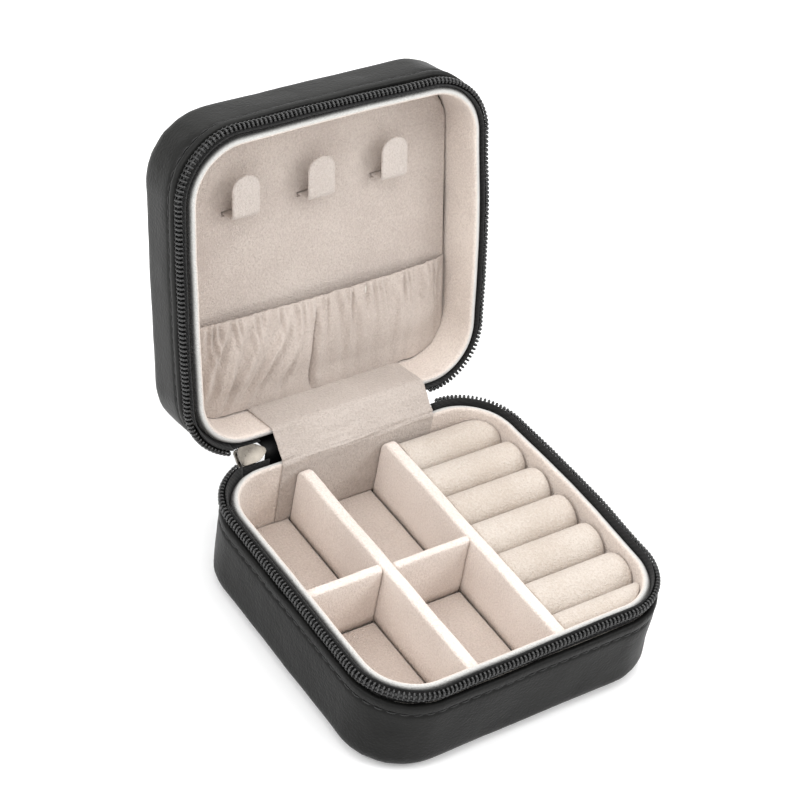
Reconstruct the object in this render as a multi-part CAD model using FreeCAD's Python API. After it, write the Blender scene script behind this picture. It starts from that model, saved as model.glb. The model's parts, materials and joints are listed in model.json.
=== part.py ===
import FreeCAD, Part

import math
import os

from FreeCAD import Vector

# A square zip-round travel jewellery case, open on its cloth hinge. Millimetres. The origin is the
# middle of the underside of the base, +Z up, +Y towards the hinge, +X to the right seen from the front.

# The outside of both halves, seen from above
WIDTH = 100.0
DEPTH = 98.0
CORNER_RADIUS = 19.0
EDGE_RADIUS = 5.4

# The layers of a wall, each given as its distance in from the outside face
LEATHER = 0.9
SHELL = 2.1
TAPE_OUTER = 2.15
TAPE_INNER = 2.55
LINING_OUTER = 2.6
LINING_INNER = 5.2
FIT = 0.05

# Heights in one half, measured from its outer face towards the opening
SHELL_FLOOR = 2.9
PAD_TOP = 5.0
BASE_FLOOR = 7.1
BASE_LEATHER_EDGE = 25.5
BASE_RIM = 29.3
LID_PANEL = 9.3
LID_LEATHER_EDGE = 18.5
LID_RIM = 22.8
RIM_ROUND = 1.2
LEATHER_FOLD = 0.8
TAPE_START = 13.0

# The zip. Its two rows of teeth meet in the plane through the hinge axis. The soft hinge lets the lid
# stand a little to the left of the base
HINGE_Y = 49.2
HINGE_Z = 31.6
OPEN_ANGLE = 103.8
LID_DEPTH = 24.0
LID_SET_OVER = -0.8
TOOTH_GAP = 0.2
COIL_OUTER = 0.65
COIL_HEIGHT = 3.1
TAPE_BELOW_TEETH = 0.9
ZIP_LEFT_END = -39.5
ZIP_RIGHT_END = 28.5

# The tray's dividers, each a board covered on both faces
DIVIDER_TOP = 26.8
DIVIDER_ROUND = 1.2
DIVIDER_END_ROUND = 3.0
DIVIDER_LEFT_X = (-20.1, -16.2)
DIVIDER_RIGHT_X = (8.8, 12.8)
CROSS_LEFT_Y = (-2.2, 0.9)
CROSS_MIDDLE_Y = (-2.8, -0.2)
BACK_END_Y = 43.0

# The row of ring rolls
# Widths from the back; the last roll takes the room that is left
ROLL_WIDTHS = (12.4, 12.4, 12.6, 13.0, 12.8, 14.0)
ROLL_GAP = 0.2

# The cloth hinge
FLAP_X = (-25.0, 27.0)
FLAP_THICKNESS = 0.6
SPINE_X = (-28.0, 27.5)
SPINE_THICKNESS = 0.9
SPINE_FOLD_RADIUS = 2.5
SPINE_FOLD_STEPS = 8

# The earring and necklace hooks on the lid panel
HOOK_NAMES = ("hook_left", "hook_middle", "hook_right")
HOOK_MIDDLE_X = -1.0
HOOK_PITCH = 24.4
HOOK_WIDTH = 8.7
HOOK_SLIT_Y = -18.8
HOOK_TOP_Y = -31.3
HOOK_STANDOFF = 4.3
HOOK_THICKNESS = 1.2
HOOK_BACK_LEG = 9.0
HOOK_BACK_LEG_THICKNESS = 0.8
PANEL_THICKNESS = 2.0
SLIT_CLEARANCE = 0.15

# The gathered pocket on the lid panel
POCKET_HALF_WIDTH = 44.3
POCKET_Y = (12.5, 43.0)
POCKET_BULGE = 6.8
POCKET_CLOTH = 0.9
ELASTIC_THICKNESS = 0.4
ELASTIC_WIDTH = 4.0

# The zip slider and its pull tab
SLIDER_X = (-37.5, -28.5)
SLIDER_THICKNESS = 3.3
SLIDER_PLATE = 0.8
SLIDER_NOSE_WIDTH = 6.6
SLIDER_TAIL_WIDTH = 5.0
SLIDER_Y_OFFSET = 0.1
BRIDGE_BAR_RADIUS = 0.45
BRIDGE_RISE = 1.5
BRIDGE_X = (-35.6, -30.4)
EYE_HOLE_RADIUS = 0.6
EYE_RADIUS = 1.25
EYE_LENGTH = 2.2
TAB_WIDTH = 5.2
TAB_THICKNESS = 1.2
TAB_LENGTH = 21.0

LID_TOP = HINGE_Z + LID_DEPTH
X_AXIS = Vector(1, 0, 0)
Y_AXIS = Vector(0, 1, 0)
Z_AXIS = Vector(0, 0, 1)

os.makedirs("parts", exist_ok=True)


def save(name, shape):
    """One sub-part, one file."""
    shape.removeSplitter().exportStep("parts/" + name + ".step")


def box(x, y, z):
    """A block from three (low, high) pairs."""
    return Part.makeBox(x[1] - x[0], y[1] - y[0], z[1] - z[0], Vector(x[0], y[0], z[0]))


def slab(inset, z_low, z_high):
    """A prism with the case's plan outline, drawn in by the inset."""
    half_x = WIDTH / 2 - inset
    half_y = DEPTH / 2 - inset
    radius = CORNER_RADIUS - inset
    prism = box((-half_x, half_x), (-half_y, half_y), (z_low, z_high))
    return prism.makeFillet(radius, edges_along(prism, Z_AXIS))


def edges_along(shape, direction):
    """The straight edges parallel to a direction."""
    found = []
    for edge in shape.Edges:
        straight = isinstance(edge.Curve, Part.Line)
        if straight and abs(edge.tangentAt(edge.FirstParameter).dot(direction)) > 0.999:
            found.append(edge)
    return found


def edges_at_height(shape, z):
    """The edges lying in a horizontal plane."""
    found = []
    for edge in shape.Edges:
        if abs(edge.BoundBox.ZMin - z) < 1e-4 and abs(edge.BoundBox.ZMax - z) < 1e-4:
            found.append(edge)
    return found


def tub(inset, z_low, z_high, edge_radius):
    """A slab whose lower edge is rounded all the way round."""
    prism = slab(inset, z_low, z_high)
    return prism.makeFillet(edge_radius, edges_at_height(prism, z_low))


def leather_cover(edge_height):
    """The outside skin of one half, its edge folded in over the board."""
    skin = tub(0.0, 0.0, edge_height, EDGE_RADIUS)
    inside = tub(LEATHER, LEATHER, edge_height - LEATHER_FOLD, EDGE_RADIUS - LEATHER)
    mouth = slab(SHELL, edge_height - LEATHER_FOLD, edge_height + 1.0)
    return skin.cut(inside).cut(mouth)


def board_shell(edge_height):
    """The stiff board tray that the leather is stretched over."""
    top = edge_height - LEATHER_FOLD
    outside = tub(LEATHER, LEATHER, top, EDGE_RADIUS - LEATHER)
    inside = tub(SHELL, SHELL_FLOOR, top + 1.0, EDGE_RADIUS - SHELL)
    return outside.cut(inside)


def lining_wall(rim_height):
    """The velvet-covered wall inside the shell, with a rolled rim that stands above the leather."""
    ring = slab(LINING_OUTER, PAD_TOP, rim_height).cut(slab(LINING_INNER, PAD_TOP - 1.0, rim_height + 1.0))
    return ring.makeFillet(RIM_ROUND, edges_at_height(ring, rim_height))


def foam_pad(z_high):
    """The thin foam between the board and the panel over it."""
    return slab(LINING_INNER + FIT, SHELL_FLOOR + FIT, z_high)


def zip_band(outer, inner, z_low, z_high):
    """A strip that follows the outline from the slider, round the front, to the right end of the hinge."""
    ring = slab(outer, z_low, z_high).cut(slab(inner, z_low - 1.0, z_high + 1.0))
    back = (DEPTH / 2 - CORNER_RADIUS, DEPTH)
    return ring.cut(box((ZIP_LEFT_END, ZIP_RIGHT_END), back, (z_low - 1.0, z_high + 1.0)))


def zip_tape(teeth_top):
    """The woven tape, glued between the shell and the lining wall."""
    return zip_band(TAPE_OUTER, TAPE_INNER, TAPE_START, teeth_top - TAPE_BELOW_TEETH)


def zip_coil(teeth_top):
    """The coil of teeth, sewn to the outer face of the tape."""
    return zip_band(COIL_OUTER, TAPE_OUTER - 0.02, teeth_top - COIL_HEIGHT, teeth_top)


def put_on_lid(shape):
    """Carry a shape from the lid's own heights to its place on the open lid."""
    placed = shape.mirror(Vector(0, 0, 0), Z_AXIS)
    placed.translate(Vector(LID_SET_OVER, 0, LID_TOP))
    placed.rotate(Vector(0, HINGE_Y, HINGE_Z), Vector(-1, 0, 0), OPEN_ANGLE)
    return placed


def opened(y, lid_height):
    """Where a point of the lid, given by its y and its lid height, lies in the open pose, as (y, z)."""
    turn = math.radians(OPEN_ANGLE)
    along = y - HINGE_Y
    up = LID_TOP - lid_height - HINGE_Z
    return (
        HINGE_Y + along * math.cos(turn) + up * math.sin(turn),
        HINGE_Z - along * math.sin(turn) + up * math.cos(turn),
    )


def divider(x, y):
    """A velvet-covered board on edge, with softened top edges."""
    board = box(x, y, (BASE_FLOOR, DIVIDER_TOP))
    along_x = x[1] - x[0] > y[1] - y[0]
    if not along_x:
        board = board.makeFillet(DIVIDER_END_ROUND, top_edges(board, True, y[1]))
    return board.makeFillet(DIVIDER_ROUND, top_edges(board, along_x, None))


def top_edges(board, along_x, at_y):
    """A board's straight top edges along X or along Y, or only the one at a given y."""
    found = []
    for edge in edges_at_height(board, DIVIDER_TOP):
        wanted = (edge.BoundBox.XLength > edge.BoundBox.YLength) == along_x
        if wanted and (at_y is None or abs(edge.BoundBox.YMin - at_y) < 1e-4):
            found.append(edge)
    return found


def ring_roll(index):
    """A foam strip under velvet with a half-round top. The end rolls fit the round corners of the tray."""
    y_back = BACK_END_Y - sum(ROLL_WIDTHS[:index]) - ROLL_GAP / 2
    y_front = BACK_END_Y - sum(ROLL_WIDTHS[:index + 1]) + ROLL_GAP / 2
    if index == len(ROLL_WIDTHS):
        y_front = -(DEPTH / 2 - LINING_INNER - 2 * FIT)
    radius = (y_back - y_front) / 2
    x = (DIVIDER_RIGHT_X[1] + FIT, WIDTH / 2 - LINING_INNER - 2 * FIT)
    z_middle = DIVIDER_TOP - radius
    post = box(x, (y_front, y_back), (BASE_FLOOR + FIT, z_middle))
    crown = Part.makeCylinder(radius, x[1] - x[0], Vector(x[0], y_front + radius, z_middle), X_AXIS)
    crown = crown.common(box(x, (y_front, y_back), (z_middle, DIVIDER_TOP + 1.0)))
    room = slab(LINING_INNER + 2 * FIT, BASE_FLOOR, DIVIDER_TOP + 1.0)
    return post.fuse(crown).removeSplitter().common(room)


def ribbon(path, thickness, x):
    """A strip of even thickness to the left of a path of (y, z) points, from x[0] to x[1]."""
    near = [Vector(x[0], y, z) for y, z in path]
    far = []
    for i, point in enumerate(near):
        before = near[max(i - 1, 0)]
        after = near[min(i + 1, len(near) - 1)]
        into = (point - before) if i > 0 else (after - point)
        out = (after - point) if i < len(near) - 1 else (point - before)
        into.normalize()
        out.normalize()
        normal_in = Vector(0, -into.z, into.y)
        normal_out = Vector(0, -out.z, out.y)
        mitre = normal_in + normal_out
        mitre.normalize()
        far.append(point + mitre * (thickness / mitre.dot(normal_in)))
    outline = near + far[::-1] + [near[0]]
    face = Part.Face(Part.makePolygon(outline))
    return face.extrude(Vector(x[1] - x[0], 0, 0))


def hinge_lining_flap():
    """The velvet strip that bridges the halves on the inside, down the base's back wall."""
    wall = DEPTH / 2 - LINING_INNER - FIT
    path = [
        (wall, BASE_FLOOR + FIT),
        (wall, BASE_RIM + 2 * FIT),
        opened(wall, LID_RIM + 2 * FIT),
        opened(wall, LID_PANEL + 3 * FIT),
    ]
    return ribbon(path, FLAP_THICKNESS, FLAP_X)


def hinge_spine():
    """The leather strip that joins the two covers at the back, folded inwards while the case is open."""
    face = DEPTH / 2 - FIT
    start = (face, BASE_LEATHER_EDGE + FIT)
    end = opened(face, LID_LEATHER_EDGE + FIT)
    turn = math.radians(OPEN_ANGLE)
    lid_y = math.sin(turn)
    lid_z = math.cos(turn)
    corner_z = end[1] - lid_z * (end[0] - face) / lid_y
    reach = SPINE_FOLD_RADIUS * math.tan(turn / 2)
    centre = (face + SPINE_FOLD_RADIUS, corner_z - reach)
    path = [start]
    for step in range(SPINE_FOLD_STEPS + 1):
        angle = math.pi - turn * step / SPINE_FOLD_STEPS
        fold_y = centre[0] + SPINE_FOLD_RADIUS * math.cos(angle)
        fold_z = centre[1] + SPINE_FOLD_RADIUS * math.sin(angle)
        path.append((fold_y, fold_z))
    path.append(end)
    return ribbon(path, SPINE_THICKNESS, SPINE_X)


def hook_x(index):
    return HOOK_MIDDLE_X + HOOK_PITCH * (index - 1)


def hook(index):
    """A J-shaped tab: a leg glued behind the panel, a bend through the slit and a round-topped tongue."""
    x = (hook_x(index) - HOOK_WIDTH / 2, hook_x(index) + HOOK_WIDTH / 2)
    leg_top = LID_PANEL - PANEL_THICKNESS - FIT
    leg_bottom = leg_top - HOOK_BACK_LEG_THICKNESS
    tongue = (LID_PANEL + HOOK_STANDOFF, LID_PANEL + HOOK_STANDOFF + HOOK_THICKNESS)
    web_y = (HOOK_SLIT_Y - HOOK_THICKNESS / 2, HOOK_SLIT_Y + HOOK_THICKNESS / 2)
    leg = box(x, (web_y[0], HOOK_SLIT_Y + HOOK_BACK_LEG), (leg_bottom, leg_top))
    web = box(x, web_y, (leg_bottom, tongue[1]))
    straight = box(x, (HOOK_TOP_Y + HOOK_WIDTH / 2, web_y[1]), tongue)
    round_top = Part.makeCylinder(
        HOOK_WIDTH / 2, HOOK_THICKNESS, Vector(hook_x(index), HOOK_TOP_Y + HOOK_WIDTH / 2, tongue[0])
    )
    return leg.fuse(web).fuse(straight).fuse(round_top)


def lid_panel():
    """The velvet-covered panel in the lid, with a slit for each hook."""
    panel = slab(LINING_INNER + FIT, LID_PANEL - PANEL_THICKNESS, LID_PANEL)
    half = HOOK_WIDTH / 2 + SLIT_CLEARANCE
    slit_half = HOOK_THICKNESS / 2 + SLIT_CLEARANCE
    for index in range(len(HOOK_NAMES)):
        x = (hook_x(index) - half, hook_x(index) + half)
        y = (HOOK_SLIT_Y - slit_half, HOOK_SLIT_Y + slit_half)
        panel = panel.cut(box(x, y, (LID_PANEL - PANEL_THICKNESS - 1.0, LID_PANEL + 1.0)))
    return panel


def bulge(shrink, y):
    """A long low arch across the panel, the pocket's shape drawn in by the shrink."""
    foot = LID_PANEL + FIT
    half = POCKET_HALF_WIDTH - shrink
    top = foot + POCKET_BULGE + POCKET_CLOTH - shrink
    low_left = Vector(-half, y[0], foot)
    low_right = Vector(half, y[0], foot)
    arch = Part.Arc(low_left, Vector(0, y[0], top), low_right).toShape()
    wire = Part.Wire([arch, Part.makeLine(low_right, low_left)])
    return Part.Face(wire).extrude(Vector(0, y[1] - y[0], 0))


def lid_pocket():
    """The gathered cloth of the pocket, open at its elastic edge and closed at the panel's lower edge."""
    room = slab(LINING_INNER + 2 * FIT, LID_PANEL, LID_RIM)
    cloth = bulge(0.0, POCKET_Y).common(room)
    inside = bulge(POCKET_CLOTH, (POCKET_Y[0] - 1.0, POCKET_Y[1] - POCKET_CLOTH))
    inner_room = slab(LINING_INNER + 2 * FIT + POCKET_CLOTH, LID_PANEL - 1.0, LID_RIM)
    return cloth.cut(inside.common(inner_room))


def pocket_elastic():
    """The elastic that gathers the pocket's edge."""
    y = (POCKET_Y[0] + 2 * FIT, POCKET_Y[0] + ELASTIC_WIDTH)
    outside = bulge(POCKET_CLOTH + FIT, y)
    return outside.cut(bulge(POCKET_CLOTH + FIT + ELASTIC_THICKNESS, (y[0] - 1.0, y[1] + 1.0)))


def put_on_slider(shape):
    """Turn a slider shape, drawn for the closed case, half as far as the open lid has turned."""
    placed = shape.copy()
    placed.rotate(Vector(0, HINGE_Y, HINGE_Z), Vector(-1, 0, 0), OPEN_ANGLE / 2)
    return placed


def slider_plate(y_low, y_high):
    """One plate of the slider, broad at the nose and narrower at the tail."""
    nose, tail = SLIDER_X
    shoulder = nose + 3.2
    half_nose = SLIDER_NOSE_WIDTH / 2
    half_tail = SLIDER_TAIL_WIDTH / 2
    outline = [
        Vector(nose, y_low, HINGE_Z - half_nose * 0.55),
        Vector(nose + 1.2, y_low, HINGE_Z - half_nose),
        Vector(shoulder, y_low, HINGE_Z - half_nose),
        Vector(tail - 1.0, y_low, HINGE_Z - half_tail),
        Vector(tail, y_low, HINGE_Z - half_tail * 0.6),
        Vector(tail, y_low, HINGE_Z + half_tail * 0.6),
        Vector(tail - 1.0, y_low, HINGE_Z + half_tail),
        Vector(shoulder, y_low, HINGE_Z + half_nose),
        Vector(nose + 1.2, y_low, HINGE_Z + half_nose),
        Vector(nose, y_low, HINGE_Z + half_nose * 0.55),
    ]
    outline.append(outline[0])
    return Part.Face(Part.makePolygon(outline)).extrude(Vector(0, y_high - y_low, 0))


def zip_slider():
    """Two plates joined by a wedge at the nose, with the bridge that the pull tab hangs on."""
    middle = HINGE_Y + SLIDER_Y_OFFSET
    inner_face = middle - SLIDER_THICKNESS / 2
    outer_face = middle + SLIDER_THICKNESS / 2
    inner = slider_plate(inner_face, inner_face + SLIDER_PLATE)
    outer = slider_plate(outer_face - SLIDER_PLATE, outer_face)
    wedge_x = (SLIDER_X[0] + 0.3, SLIDER_X[0] + 2.4)
    wedge = box(wedge_x, (inner_face, outer_face), (HINGE_Z - 1.0, HINGE_Z + 1.0))
    body = inner.fuse(outer).fuse(wedge)
    bar_y = outer_face + BRIDGE_RISE
    bar = Part.makeCylinder(
        BRIDGE_BAR_RADIUS, BRIDGE_X[1] - BRIDGE_X[0], Vector(BRIDGE_X[0], bar_y, HINGE_Z), X_AXIS
    )
    body = body.fuse(bar)
    leg_z = (HINGE_Z - BRIDGE_BAR_RADIUS, HINGE_Z + BRIDGE_BAR_RADIUS)
    for x_end, side in ((BRIDGE_X[0], -1), (BRIDGE_X[1], 1)):
        leg_x = (min(x_end, x_end + side * 0.9), max(x_end, x_end + side * 0.9))
        body = body.fuse(box(leg_x, (outer_face - 0.2, bar_y + BRIDGE_BAR_RADIUS), leg_z))
    return put_on_slider(body)


def bridge_centre():
    """The middle of the bridge's bar in the open pose: the axis that the pull tab swings about."""
    half_turn = math.radians(OPEN_ANGLE / 2)
    reach = SLIDER_Y_OFFSET + SLIDER_THICKNESS / 2 + BRIDGE_RISE
    x = (BRIDGE_X[0] + BRIDGE_X[1]) / 2
    return Vector(x, HINGE_Y + reach * math.cos(half_turn), HINGE_Z - reach * math.sin(half_turn))


def zip_puller():
    """The pull tab, hanging straight down from the bridge behind the base."""
    pivot = bridge_centre()
    eye = Part.makeCylinder(EYE_RADIUS, EYE_LENGTH, pivot - Vector(EYE_LENGTH / 2, 0, 0), X_AXIS)
    y = (pivot.y - TAB_THICKNESS / 2, pivot.y + TAB_THICKNESS / 2)
    neck = box((pivot.x - EYE_LENGTH / 2, pivot.x + EYE_LENGTH / 2), y, (pivot.z - 4.0, pivot.z))
    tab_low = pivot.z - TAB_LENGTH + TAB_WIDTH / 2
    tab = box((pivot.x - TAB_WIDTH / 2, pivot.x + TAB_WIDTH / 2), y, (tab_low, pivot.z - 3.4))
    tip = Part.makeCylinder(TAB_WIDTH / 2, TAB_THICKNESS, Vector(pivot.x, y[0], tab_low), Y_AXIS)
    puller = eye.fuse(neck).fuse(tab).fuse(tip)
    hole = Part.makeCylinder(EYE_HOLE_RADIUS, EYE_LENGTH * 2, pivot - Vector(EYE_LENGTH, 0, 0), X_AXIS)
    return puller.cut(hole)


# The base
BASE_TEETH = HINGE_Z - TOOTH_GAP
save("base_leather_cover", leather_cover(BASE_LEATHER_EDGE))
save("base_shell", board_shell(BASE_LEATHER_EDGE))
save("base_lining_wall", lining_wall(BASE_RIM))
save("base_foam_pad", foam_pad(PAD_TOP))
save("base_floor_panel", slab(LINING_INNER + FIT, PAD_TOP, BASE_FLOOR))
save("base_zip_tape", zip_tape(BASE_TEETH))
save("base_zip_coil", zip_coil(BASE_TEETH))

# The tray's dividers and rolls
FRONT_WALL = -(DEPTH / 2 - LINING_INNER - FIT)
LEFT_WALL = -(WIDTH / 2 - LINING_INNER - FIT)
LEFT_SPAN = (LEFT_WALL, DIVIDER_LEFT_X[0] - FIT)
MIDDLE_SPAN = (DIVIDER_LEFT_X[1] + FIT, DIVIDER_RIGHT_X[0] - FIT)
save("divider_left", divider(DIVIDER_LEFT_X, (FRONT_WALL, BACK_END_Y)))
save("divider_right", divider(DIVIDER_RIGHT_X, (FRONT_WALL, BACK_END_Y)))
save("cross_divider_left", divider(LEFT_SPAN, CROSS_LEFT_Y))
save("cross_divider_middle", divider(MIDDLE_SPAN, CROSS_MIDDLE_Y))
for number in range(len(ROLL_WIDTHS) + 1):
    save("ring_roll_" + str(number + 1), ring_roll(number))

# The hinge, which belongs to both halves
save("hinge_lining_flap", hinge_lining_flap())
save("hinge_spine", hinge_spine())

# The lid
LID_TEETH = LID_DEPTH - TOOTH_GAP
PAD_UNDER_HOOKS = LID_PANEL - PANEL_THICKNESS - HOOK_BACK_LEG_THICKNESS - 2 * FIT
save("lid_leather_cover", put_on_lid(leather_cover(LID_LEATHER_EDGE)))
save("lid_shell", put_on_lid(board_shell(LID_LEATHER_EDGE)))
save("lid_lining_wall", put_on_lid(lining_wall(LID_RIM)))
save("lid_foam_pad", put_on_lid(foam_pad(PAD_UNDER_HOOKS)))
save("lid_panel", put_on_lid(lid_panel()))
save("lid_pocket", put_on_lid(lid_pocket()))
save("pocket_elastic", put_on_lid(pocket_elastic()))
save("lid_zip_tape", put_on_lid(zip_tape(LID_TEETH)))
save("lid_zip_coil", put_on_lid(zip_coil(LID_TEETH)))
for number, hook_name in enumerate(HOOK_NAMES):
    save(hook_name, put_on_lid(hook(number)))

# The zip's moving pieces
save("zip_slider", zip_slider())
save("zip_puller", zip_puller())
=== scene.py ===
import json
import math

import bmesh
import bpy
from mathutils import Matrix, Vector, noise


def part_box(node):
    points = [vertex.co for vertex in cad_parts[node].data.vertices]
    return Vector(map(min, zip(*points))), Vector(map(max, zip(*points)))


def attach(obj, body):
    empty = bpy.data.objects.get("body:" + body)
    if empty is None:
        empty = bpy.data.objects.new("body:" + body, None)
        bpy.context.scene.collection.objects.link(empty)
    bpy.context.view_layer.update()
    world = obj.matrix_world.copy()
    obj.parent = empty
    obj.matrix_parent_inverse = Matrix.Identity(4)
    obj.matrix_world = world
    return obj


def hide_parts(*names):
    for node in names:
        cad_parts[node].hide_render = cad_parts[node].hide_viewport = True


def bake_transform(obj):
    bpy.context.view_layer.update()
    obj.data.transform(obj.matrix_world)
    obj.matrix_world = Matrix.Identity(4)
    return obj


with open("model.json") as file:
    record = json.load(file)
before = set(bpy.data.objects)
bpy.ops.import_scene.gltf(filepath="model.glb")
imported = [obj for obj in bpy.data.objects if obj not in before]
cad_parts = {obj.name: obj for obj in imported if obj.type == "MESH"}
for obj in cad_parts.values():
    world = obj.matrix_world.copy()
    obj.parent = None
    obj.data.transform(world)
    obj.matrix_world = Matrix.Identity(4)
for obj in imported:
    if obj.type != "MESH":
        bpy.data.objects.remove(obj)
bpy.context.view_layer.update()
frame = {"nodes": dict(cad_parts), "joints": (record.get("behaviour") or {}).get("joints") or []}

# ---- Camera --------------------------------------------------------------------------------------------
# A long lens looks down into the open tray from its front left corner, tilted a little to the side.
# Sizes here and below are in millimetres, and become metres where an object is made.
MM = 0.001
azimuth = math.radians(-40.6)
elevation = math.radians(39.74)
roll = math.radians(10.74)
target = Vector((29.1, 62.0, 20.0))
distance = 711.0

towards_camera = Vector((math.sin(azimuth) * math.cos(elevation),
                         -math.cos(azimuth) * math.cos(elevation),
                         math.sin(elevation)))
level_right = towards_camera.cross(Vector((0, 0, -1))).normalized()
level_up = level_right.cross(-towards_camera)
image_right = math.cos(roll) * level_right + math.sin(roll) * level_up
image_up = math.cos(roll) * level_up - math.sin(roll) * level_right
camera_data = bpy.data.cameras.new("camera")
camera_data.lens = 106.3
camera_data.sensor_width = 36
camera_data.clip_start = 0.05
camera = bpy.data.objects.new("camera", camera_data)
bpy.context.scene.collection.objects.link(camera)
camera.matrix_world = Matrix.Translation((target + towards_camera * distance) * MM) @ Matrix(
    (image_right, image_up, towards_camera)).transposed().to_4x4()
bpy.context.scene.camera = camera
bpy.context.scene.view_settings.view_transform = "Standard"

# ---- Leather covers ------------------------------------------------------------------------------------
# Each half is a board tray with black imitation leather stretched over it and glued. The leather's edge is
# folded in over the board, and one row of stitches holds the fold a few millimetres below the edge.
cover_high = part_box("base_leather_cover")[1] / MM
half_width = cover_high.x
half_depth = cover_high.y
corner_radius = 19.0
edge_radius = 5.4
base_leather_edge = cover_high.z
lid_leather_edge = 18.5
fold_inset = 2.1
base_stitch_drop = 3.4
lid_stitch_drop = 2.7

hinge = next(joint for joint in frame["joints"] if joint["name"] == "lid_hinge")
hinge_axis = Vector(hinge["pos_m"]) / MM
open_angle = math.radians(-hinge["range_deg"][0])
lid_depth = 24.0
lid_top = hinge_axis.z + lid_depth
lid_set_over = -0.8


def straight(start, end, outward):
    """One side of the outline, as its length and a function of the distance along it."""
    start, end, outward = Vector(start), Vector(end), Vector(outward)
    length = (end - start).length
    return length, lambda s: (start.lerp(end, s / length), outward)


def round_corner(centre, first_angle):
    """A quarter turn of the outline, anticlockwise."""
    centre = Vector(centre)

    def at(s):
        angle = first_angle + s / corner_radius
        outward = Vector((math.cos(angle), math.sin(angle)))
        return centre + outward * corner_radius, outward

    return corner_radius * math.pi / 2, at


side_x = half_width - corner_radius
side_y = half_depth - corner_radius
outline = [
    straight((0, half_depth), (-side_x, half_depth), (0, 1)),
    round_corner((-side_x, side_y), math.pi / 2),
    straight((-half_width, side_y), (-half_width, -side_y), (-1, 0)),
    round_corner((-side_x, -side_y), math.pi),
    straight((-side_x, -half_depth), (side_x, -half_depth), (0, -1)),
    round_corner((side_x, -side_y), math.pi * 1.5),
    straight((half_width, -side_y), (half_width, side_y), (1, 0)),
    round_corner((side_x, side_y), 0.0),
    straight((side_x, half_depth), (0, half_depth), (0, 1)),
]
outline_length = sum(length for length, at in outline)


def outline_at(s):
    """The point and the outward direction a distance s round the outside, from the middle of the back."""
    for length, at in outline:
        if s <= length:
            return at(s)
        s -= length
    return at(length)


def bowed(x, y, on_lid):
    """How far a free side has bowed outwards, as soft board does: most at its middle, none at the back."""
    right = 1.1 * max(0.0, math.cos(math.pi * y / 76)) ** 2 * min(1.0, max(0.0, (x - 20) / 15))
    if not on_lid:
        return right
    left = 0.8 * max(0.0, math.cos(math.pi * (y + 4) / 92)) * min(1.0, max(0.0, (-20 - x) / 15))
    front = 0.8 * max(0.0, math.cos(math.pi * (x - 8) / 100)) * min(1.0, max(0.0, (-20 - y) / 15))
    return right + left + front


def bow_out(points, places, columns, on_lid):
    """Move the swept points of a wall outwards by its bow, less towards the flat bottom."""
    for index, (x, y, z) in enumerate(points):
        where, outward = places[index // columns]
        push = bowed(where.x, where.y, on_lid) * min(1.0, 0.25 + z / 16)
        points[index] = (x + outward.x * push, y + outward.y * push, z)


def stations(start, end, step):
    """Evenly spaced places along the outline."""
    count = max(2, round((end - start) / step))
    return [outline_at(start + (end - start) * i / count) for i in range(count + 1)]


def sweep(places, profile, closed):
    """Points and faces of a profile of (inset, height) pairs carried along places on the outline."""
    points = []
    for where, outward in places:
        for inset, height in profile:
            points.append((where.x - outward.x * inset, where.y - outward.y * inset, height))
    rows, columns = len(places), len(profile)
    faces = []
    for i in range(rows if closed else rows - 1):
        after = (i + 1) % rows
        for j in range(columns - 1):
            faces.append((i * columns + j, after * columns + j, after * columns + j + 1, i * columns + j + 1))
    return points, faces


def ripple(x, y, z, size, depth):
    """A gentle unevenness, the same each time, whose waves are about one size across."""
    return noise.noise(Vector((x, y, z)) / size) * depth


def on_open_lid(point):
    """Where a point of the lid goes. Its height is measured from the lid's outside face to the opening."""
    along = point[1] - hinge_axis.y
    up = lid_top - point[2] - hinge_axis.z
    return (point[0] + lid_set_over,
            hinge_axis.y + along * math.cos(open_angle) + up * math.sin(open_angle),
            hinge_axis.z - along * math.sin(open_angle) + up * math.cos(open_angle))


def piece(name, points, faces, material, body=None, slot=None, on_lid=False):
    """A smooth mesh object from points in millimetres, riding on a body."""
    if on_lid:
        points = [on_open_lid(point) for point in points]
    mesh = bpy.data.meshes.new(name)
    mesh.from_pydata([Vector(point) * MM for point in points], [], faces)
    shape = bmesh.new()
    shape.from_mesh(mesh)
    bmesh.ops.recalc_face_normals(shape, faces=shape.faces)
    shape.to_mesh(mesh)
    shape.free()
    for polygon in mesh.polygons:
        polygon.use_smooth = True
    mesh.materials.append(material)
    made = bpy.data.objects.new(name, mesh)
    bpy.context.scene.collection.objects.link(made)
    if body:
        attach(made, body)
    return made


def add_node(tree, kind, settings=None, **inputs):
    """A node with some inputs set, each from a value or from another node's output."""
    made = tree.nodes.new(kind)
    for key, value in (settings or {}).items():
        setattr(made, key, value)
    for key, value in inputs.items():
        socket = made.inputs[key.replace("_", " ")]
        if isinstance(value, bpy.types.NodeSocket):
            tree.links.new(value, socket)
        else:
            socket.default_value = value
    return made


def new_material(name):
    """A node material: itself, its nodes, its shader, and the place on the piece that its patterns follow."""
    material = bpy.data.materials.new(name)
    material.use_nodes = True
    tree = material.node_tree
    place = add_node(tree, "ShaderNodeTexCoord").outputs["Object"]
    return material, tree, tree.nodes["Principled BSDF"], place


def colour_steps(tree, factor, steps):
    """A colour ramp through (position, colour) steps."""
    ramp = add_node(tree, "ShaderNodeValToRGB", Fac=factor)
    elements = ramp.color_ramp.elements
    while len(elements) < len(steps):
        elements.new(0.5)
    for element, (position, colour) in zip(elements, steps):
        element.position = position
        element.color = (*colour, 1.0)
    return ramp.outputs["Color"]


def coloured(tree, shader, factor, steps):
    """Give a finish its colour, from a ramp through (position, colour) steps."""
    tree.links.new(colour_steps(tree, factor, steps), shader.inputs["Base Color"])


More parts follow.
